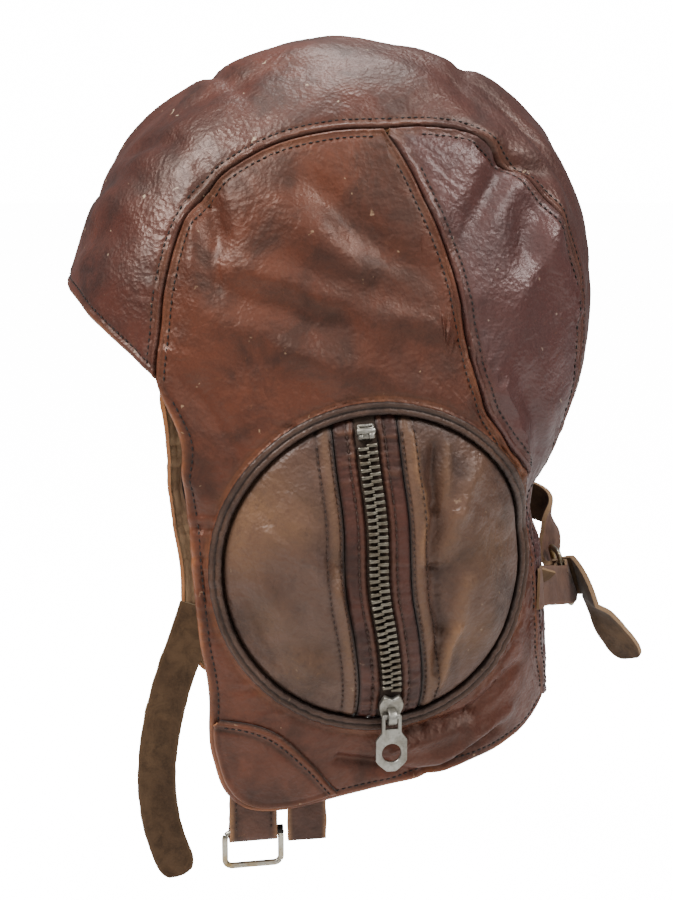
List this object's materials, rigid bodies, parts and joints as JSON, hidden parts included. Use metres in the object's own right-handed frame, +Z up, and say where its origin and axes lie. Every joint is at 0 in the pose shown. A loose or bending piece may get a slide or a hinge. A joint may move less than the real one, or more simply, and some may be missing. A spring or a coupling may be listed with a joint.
{
  "type": "leather flying helmet",
  "caption": "Close-fitting leather helmet with a crown strip, side and rear panels, round zipped ear pockets, a hanging chin strap with a wire buckle opposite, and a buckled nape strap.",
  "frame": {"origin": "inside of the crown, on the mid-plane above the ears, where a head carries the helmet", "axes": "+Z up, -Y towards the face opening, +X towards the wearer's left"},
  "size_m": [0.1788, 0.2184, 0.3635],
  "materials": {
    "crown_leather": "glossy worn maroon-brown leather",
    "side_leather": "satin red-brown leather, orange at the edges",
    "pocket_leather": "dull olive-brown leather with tan scuffs",
    "facing_leather": "thin red-brown leather",
    "strap_leather": "rough olive-brown strap leather",
    "zip_metal": "dull nickel",
    "wire_metal": "worn nickel wire"
  },
  "bodies": {
    "root": {"crown_strip": "crown_leather", "left_side_panel": "side_leather", "left_rear_panel": "side_leather", "left_chin_patch": "side_leather", "left_ear_ring": "pocket_leather", "left_pocket_front": "pocket_leather", "left_pocket_rear": "pocket_leather", "left_zip_facing_front": "facing_leather", "left_zip_facing_rear": "facing_leather", "left_zip_chain": "zip_metal", "left_zip_top_stop": "zip_metal", "left_zip_slider": "zip_metal", "right_side_panel": "side_leather", "right_rear_panel": "side_leather", "right_chin_patch": "side_leather", "right_ear_ring": "pocket_leather", "right_pocket_front": "pocket_leather", "right_pocket_rear": "pocket_leather", "right_zip_facing_front": "facing_leather", "right_zip_facing_rear": "facing_leather", "right_zip_chain": "zip_metal", "right_zip_top_stop": "zip_metal", "right_zip_slider": "zip_metal", "left_buckle_loop": "side_leather", "left_backing_tab": "strap_leather", "right_chin_strap": "strap_leather", "nape_strap": "strap_leather", "nape_buckle": "wire_metal", "nape_keeper": "strap_leather"},
    "left_pull": {"left_zip_pull": "zip_metal"},
    "right_pull": {"right_zip_pull": "zip_metal"},
    "chin_buckle": {"left_buckle_frame": "wire_metal"}
  },
  "joints": [
    {"name": "left_pull_hinge", "type": "hinge", "parent": "root", "child": "left_pull", "pos_m": [0.08427, 0.00297, -0.22816], "axis": [0, -1, 0], "range_deg": [0, 140]},
    {"name": "right_pull_hinge", "type": "hinge", "parent": "root", "child": "right_pull", "pos_m": [-0.08427, 0.00297, -0.22816], "axis": [0, 1, 0], "range_deg": [0, 140]},
    {"name": "chin_buckle_hinge", "type": "hinge", "parent": "root", "child": "chin_buckle", "pos_m": [0.06174, -0.04295, -0.27795], "axis": [0, -1, 0], "range_deg": [-80, 80]}
  ]
}
